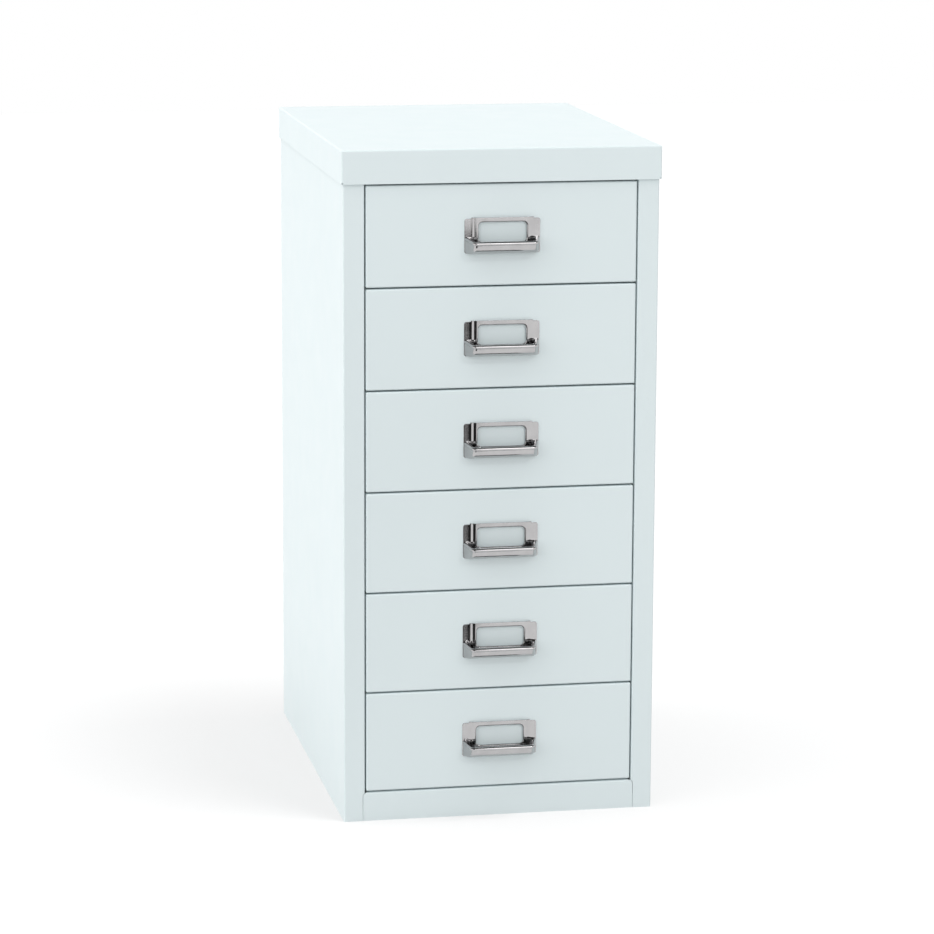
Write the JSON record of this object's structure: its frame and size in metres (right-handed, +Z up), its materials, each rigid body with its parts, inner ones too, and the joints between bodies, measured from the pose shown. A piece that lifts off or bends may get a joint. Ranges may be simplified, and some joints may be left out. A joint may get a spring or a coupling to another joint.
{
  "type": "drawer cabinet",
  "caption": "Narrow steel desk cabinet with a stack of equal flush drawers, each hung in channel runners and fitted with a chromed card-holder pull.",
  "frame": {"origin": "middle of the carcass's footprint, on the floor", "axes": "+Z up, -Y out of the drawer fronts, +X to the right of someone facing the drawers"},
  "size_m": [0.279, 0.3955, 0.59],
  "materials": {
    "paint": "satin powder coat, very pale ice blue",
    "inner_paint": "the same powder coat, thinner on the inside",
    "plated": "bright plated pressing",
    "nylon": "natural nylon, moulded"
  },
  "bodies": {
    "cabinet": {"top_cap": "paint", "side_panel_left": "paint", "side_panel_right": "paint", "back_panel": "paint", "base_panel": "inner_paint", "bottom_rail": "paint", "top_rail": "paint", "runner_glides_left": "nylon", "runner_glides_right": "nylon", "runner_left_1": "inner_paint", "runner_left_2": "inner_paint", "runner_left_3": "inner_paint", "runner_left_4": "inner_paint", "runner_left_5": "inner_paint", "runner_left_6": "inner_paint", "runner_right_1": "inner_paint", "runner_right_2": "inner_paint", "runner_right_3": "inner_paint", "runner_right_4": "inner_paint", "runner_right_5": "inner_paint", "runner_right_6": "inner_paint"},
    "drawer_1": {"drawer_front_1": "paint", "drawer_tray_1": "inner_paint", "drawer_pull_1": "plated", "drawer_shoes_1": "nylon"},
    "drawer_2": {"drawer_front_2": "paint", "drawer_tray_2": "inner_paint", "drawer_pull_2": "plated", "drawer_shoes_2": "nylon"},
    "drawer_3": {"drawer_front_3": "paint", "drawer_tray_3": "inner_paint", "drawer_pull_3": "plated", "drawer_shoes_3": "nylon"},
    "drawer_4": {"drawer_front_4": "paint", "drawer_tray_4": "inner_paint", "drawer_pull_4": "plated", "drawer_shoes_4": "nylon"},
    "drawer_5": {"drawer_front_5": "paint", "drawer_tray_5": "inner_paint", "drawer_pull_5": "plated", "drawer_shoes_5": "nylon"},
    "drawer_6": {"drawer_front_6": "paint", "drawer_tray_6": "inner_paint", "drawer_pull_6": "plated", "drawer_shoes_6": "nylon"}
  },
  "joints": [
    {"name": "drawer_1_slide", "type": "slide", "parent": "cabinet", "child": "drawer_1", "axis": [0, -1, 0], "range_m": [0, 0.27]},
    {"name": "drawer_2_slide", "type": "slide", "parent": "cabinet", "child": "drawer_2", "axis": [0, -1, 0], "range_m": [0, 0.27]},
    {"name": "drawer_3_slide", "type": "slide", "parent": "cabinet", "child": "drawer_3", "axis": [0, -1, 0], "range_m": [0, 0.27]},
    {"name": "drawer_4_slide", "type": "slide", "parent": "cabinet", "child": "drawer_4", "axis": [0, -1, 0], "range_m": [0, 0.27]},
    {"name": "drawer_5_slide", "type": "slide", "parent": "cabinet", "child": "drawer_5", "axis": [0, -1, 0], "range_m": [0, 0.27]},
    {"name": "drawer_6_slide", "type": "slide", "parent": "cabinet", "child": "drawer_6", "axis": [0, -1, 0], "range_m": [0, 0.27]}
  ]
}
